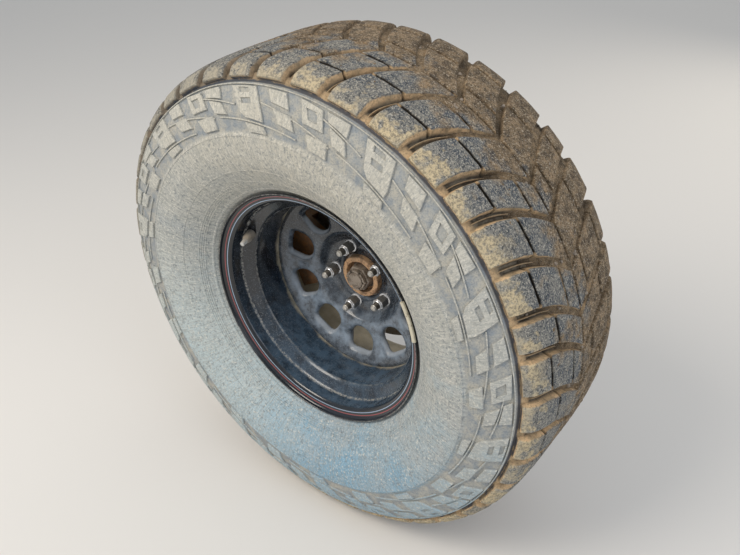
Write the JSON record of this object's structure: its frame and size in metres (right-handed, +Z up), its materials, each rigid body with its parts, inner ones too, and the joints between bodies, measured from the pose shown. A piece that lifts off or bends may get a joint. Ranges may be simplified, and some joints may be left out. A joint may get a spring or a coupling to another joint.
{
  "type": "off-road front wheel end",
  "caption": "Mud-terrain tyre on a deep dish steel wheel with hub, vented disc brake, steering knuckle and the ball-jointed yoke on the end of a driven front axle.",
  "frame": {"origin": "centre of the yoke's socket mouth, where the axle tube goes in, on the wheel's axis", "axes": "+X to the vehicle's front, +Y inboard along the wheel's axis, +Z up"},
  "size_m": [0.8324, 0.422, 0.833],
  "materials": {
    "tyre_rubber": "dusty matte",
    "wheel_paint": "gloss black, dusty",
    "rim_paint": "gloss black with a thin red and a thin pale line",
    "plated_nut": "worn plating",
    "stud_steel": "bare",
    "hub_steel": "rusty",
    "shaft_steel": "greasy",
    "disc_iron": "turned faces, rusty edges",
    "knuckle_iron": "sand-cast",
    "caliper_iron": "rusty",
    "shield_steel": "thin pressed sheet",
    "lining": "bonded friction lining",
    "fastener": "zinc plated",
    "joint_steel": "machined",
    "valve_rubber": "matte",
    "valve_plastic": "matte",
    "weight_zinc": "cast, coated",
    "yoke_steel": "satin black, dusty"
  },
  "bodies": {
    "axle_end": {"axle_yoke": "yoke_steel", "upper_ball_joint": "joint_steel", "lower_ball_joint": "joint_steel"},
    "knuckle": {"bearing_housing": "hub_steel", "dust_shield": "shield_steel", "brake_pad_outer": "lining", "brake_pad_inner": "lining", "caliper": "caliper_iron", "brake_piston": "joint_steel", "bleeder": "fastener", "knuckle": "knuckle_iron", "ball_stud_upper": "joint_steel", "ball_stud_lower": "joint_steel", "ball_nut_upper": "fastener", "ball_nut_lower": "fastener", "bearing_bolt_1": "fastener", "bearing_bolt_2": "fastener", "bearing_bolt_3": "fastener", "slide_pin_1": "fastener", "slide_pin_2": "fastener"},
    "wheel": {"tyre": "tyre_rubber", "rim": "rim_paint", "wheel_disc": "wheel_paint", "valve_stem": "valve_rubber", "valve_cap": "valve_plastic", "wheel_weight": "weight_zinc", "hub": "hub_steel", "stub_shaft": "shaft_steel", "axle_washer": "shaft_steel", "axle_nut": "shaft_steel", "nut_retainer": "shaft_steel", "cotter_pin": "shaft_steel", "brake_disc": "disc_iron", "wheel_stud_1": "stud_steel", "wheel_stud_2": "stud_steel", "wheel_stud_3": "stud_steel", "wheel_stud_4": "stud_steel", "wheel_stud_5": "stud_steel", "lug_nut_1": "plated_nut", "lug_nut_2": "plated_nut", "lug_nut_3": "plated_nut", "lug_nut_4": "plated_nut", "lug_nut_5": "plated_nut"}
  },
  "joints": [
    {"name": "steering", "type": "hinge", "parent": "axle_end", "child": "knuckle", "pos_m": [0, -0.115, 0], "axis": [0, 0.1305, 0.9914], "range_deg": [-33, 33]},
    {"name": "wheel_spin", "type": "hinge", "parent": "knuckle", "child": "wheel", "pos_m": [0, -0.232, 0], "axis": [0, 1, 0], "continuous": true}
  ]
}
